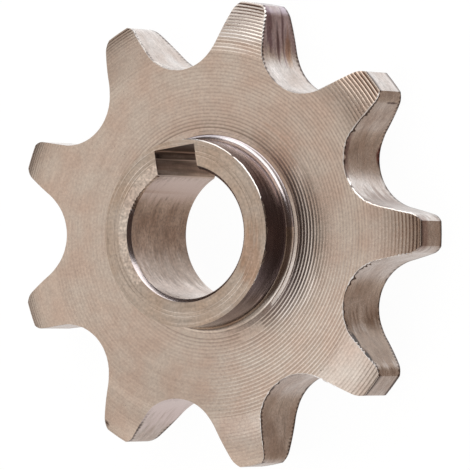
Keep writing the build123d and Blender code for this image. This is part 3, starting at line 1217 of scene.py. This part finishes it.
# Soft panels round the part, sizes in metres; the side that the camera stands on is left dark
panels = {
    "leftPanel": {"towards": (-0.53, -0.10, 0.85), "size": (2.6, 2.6), "level": 0.58, "colour": "#fffaf6"},
    "sidePanel": {"towards": (-0.90, -0.05, 0.40), "size": (2.0, 0.6), "level": 0.23, "colour": "#ffffff"},
    "topPanel": {"towards": (-0.42, 0.65, 0.63), "size": (0.7, 0.55), "level": 0.92, "colour": "#eef6ff"},
    "edgePanel": {"towards": (0.21, 0.86, 0.47), "size": (1.6, 0.72), "level": 2.1, "colour": "#ffffff"},
    "nearPanel": {"towards": (-0.12, -0.34, 0.93), "size": (0.8, 0.6), "level": 0.84, "colour": "#e8f3ff"},
    "lowPanel": {"towards": (-0.28, -0.86, 0.43), "size": (1.9, 0.7), "level": 0.42, "colour": "#ffffff"},
    "overPanel": {"towards": (0.36, 0.0, 0.93), "size": (0.2, 0.35), "level": 0.42, "colour": "#ffdcc4"},
}
panelDistance = 1.2
room = {"colour": "#ffd3bf", "level": 0.055}


def makePanel(name, panel):
    lamp = bpy.data.objects.new(name, bpy.data.lights.new(name, "AREA"))
    bpy.context.scene.collection.objects.link(lamp)
    width, height = panel["size"]
    lamp.data.shape = "RECTANGLE"
    lamp.data.size = width
    lamp.data.size_y = height
    lamp.data.color = linearColour(panel["colour"])[:3]
    lamp.data.energy = panel["level"] * width * height * math.pi  # so that level is what a mirror shows
    towards = Vector(panel["towards"]).normalized()
    # the width of a panel above or below lies level, and that of one to the side stands upright
    if abs(towards.x) > abs(towards.y):
        level = Vector((0, 1, 0))
        level = (level - towards * level.dot(towards)).normalized()
        wide, high = towards.cross(level), -level
    else:
        wide = Vector((0, 0, 1)).cross(towards).normalized()
        high = towards.cross(wide)
    turn = Matrix((wide, high, towards)).transposed().to_4x4()
    lamp.matrix_world = viewFrame() @ Matrix.Translation(towards * panelDistance) @ turn


def addPlane(name, size, place, material):
    bm = bmesh.new()
    bmesh.ops.create_grid(bm, x_segments=2, y_segments=2, size=size / 2)
    mesh = bpy.data.meshes.new(name)
    bm.to_mesh(mesh)
    bm.free()
    plane = bpy.data.objects.new(name, mesh)
    bpy.context.scene.collection.objects.link(plane)
    plane.matrix_world = place
    plane.data.materials.append(material)


# The floor is white paper. Under it lies a card, lit evenly, whose shades are what the steel mirrors. Each
# comes in between two distances in metres, straight across the card or aslant.
floorSheet = {"size": 6.0, "colour": "#f4f3f1", "glow": 1.04, "glowShare": 0.93}
lowCard = {"size": 1.4, "below": 0.35, "level": 1.22, "slant": -0.5}
cardShades = [
    {"aslant": False, "span": (0.0, -0.14), "colour": "#c9c1bc"},
    {"aslant": True, "span": (0.045, 0.135), "colour": "#a49180"},
    {"aslant": True, "span": (0.13, 0.21), "colour": "#97867a"},
]


def makeFloor():
    # white to the camera; reflections go through it to the card below, as through a glass table
    material = newSurface("paperFloor")
    tree = material.node_tree
    paper = addNode(tree, "ShaderNodeBsdfDiffuse", {"Color": linearColour(floorSheet["colour"])})
    glow = addNode(tree, "ShaderNodeEmission", {"Color": (1, 1, 1, 1), "Strength": floorSheet["glow"]})
    clear = addNode(tree, "ShaderNodeBsdfTransparent")
    path = addNode(tree, "ShaderNodeLightPath").outputs
    share = addNode(tree, "ShaderNodeMath", {
        0: path["Is Camera Ray"], 1: floorSheet["glowShare"]}, operation="MULTIPLY")
    shown = addNode(tree, "ShaderNodeMixShader", {0: share, 1: paper, 2: glow})
    passed = addNode(tree, "ShaderNodeMixShader", {0: path["Is Glossy Ray"], 1: shown, 2: clear})
    addNode(tree, "ShaderNodeOutputMaterial", {"Surface": passed})
    addPlane("floor", floorSheet["size"], Matrix.Translation((0, 0, cadBox[0][2])), material)


def makeCard():
    material = newSurface("cardBelow")
    material.cycles.emission_sampling = "NONE"
    tree = material.node_tree
    place = addNode(tree, "ShaderNodeTexCoord").outputs["Object"]
    place = addNode(tree, "ShaderNodeSeparateXYZ", {0: place}).outputs
    beyond = addNode(tree, "ShaderNodeMath", {0: place["Y"], 1: 0.0}, operation="MAXIMUM")
    aslant = addNode(tree, "ShaderNodeMath", {
        0: beyond, 1: lowCard["slant"], 2: place["X"]}, operation="MULTIPLY_ADD")
    colour = (1, 1, 1, 1)
    for shade in cardShades:
        start, end = shade["span"]
        share = addNode(tree, "ShaderNodeMapRange", {
            0: aslant if shade["aslant"] else place["Y"], 1: start, 2: end}, interpolation_type="SMOOTHSTEP")
        colour = addNode(tree, "ShaderNodeMix", {
            0: share, 6: colour, 7: linearColour(shade["colour"])}, data_type="RGBA").outputs[2]
    glow = addNode(tree, "ShaderNodeEmission", {"Color": colour, "Strength": lowCard["level"]})
    addNode(tree, "ShaderNodeOutputMaterial", {"Surface": glow})
    addPlane("card", lowCard["size"], viewFrame() @ Matrix.Translation((0, 0, -lowCard["below"])), material)


makeCamera()
makeFloor()
makeCard()
for name, panel in panels.items():
    makePanel(name, panel)
world = bpy.data.worlds.new("studioRoom")
bpy.context.scene.world = world
world.use_nodes = True
background = world.node_tree.nodes["Background"]
background.inputs["Color"].default_value = linearColour(room["colour"])
background.inputs["Strength"].default_value = room["level"]
bpy.context.scene.view_settings.view_transform = "Standard"
print("studio built")
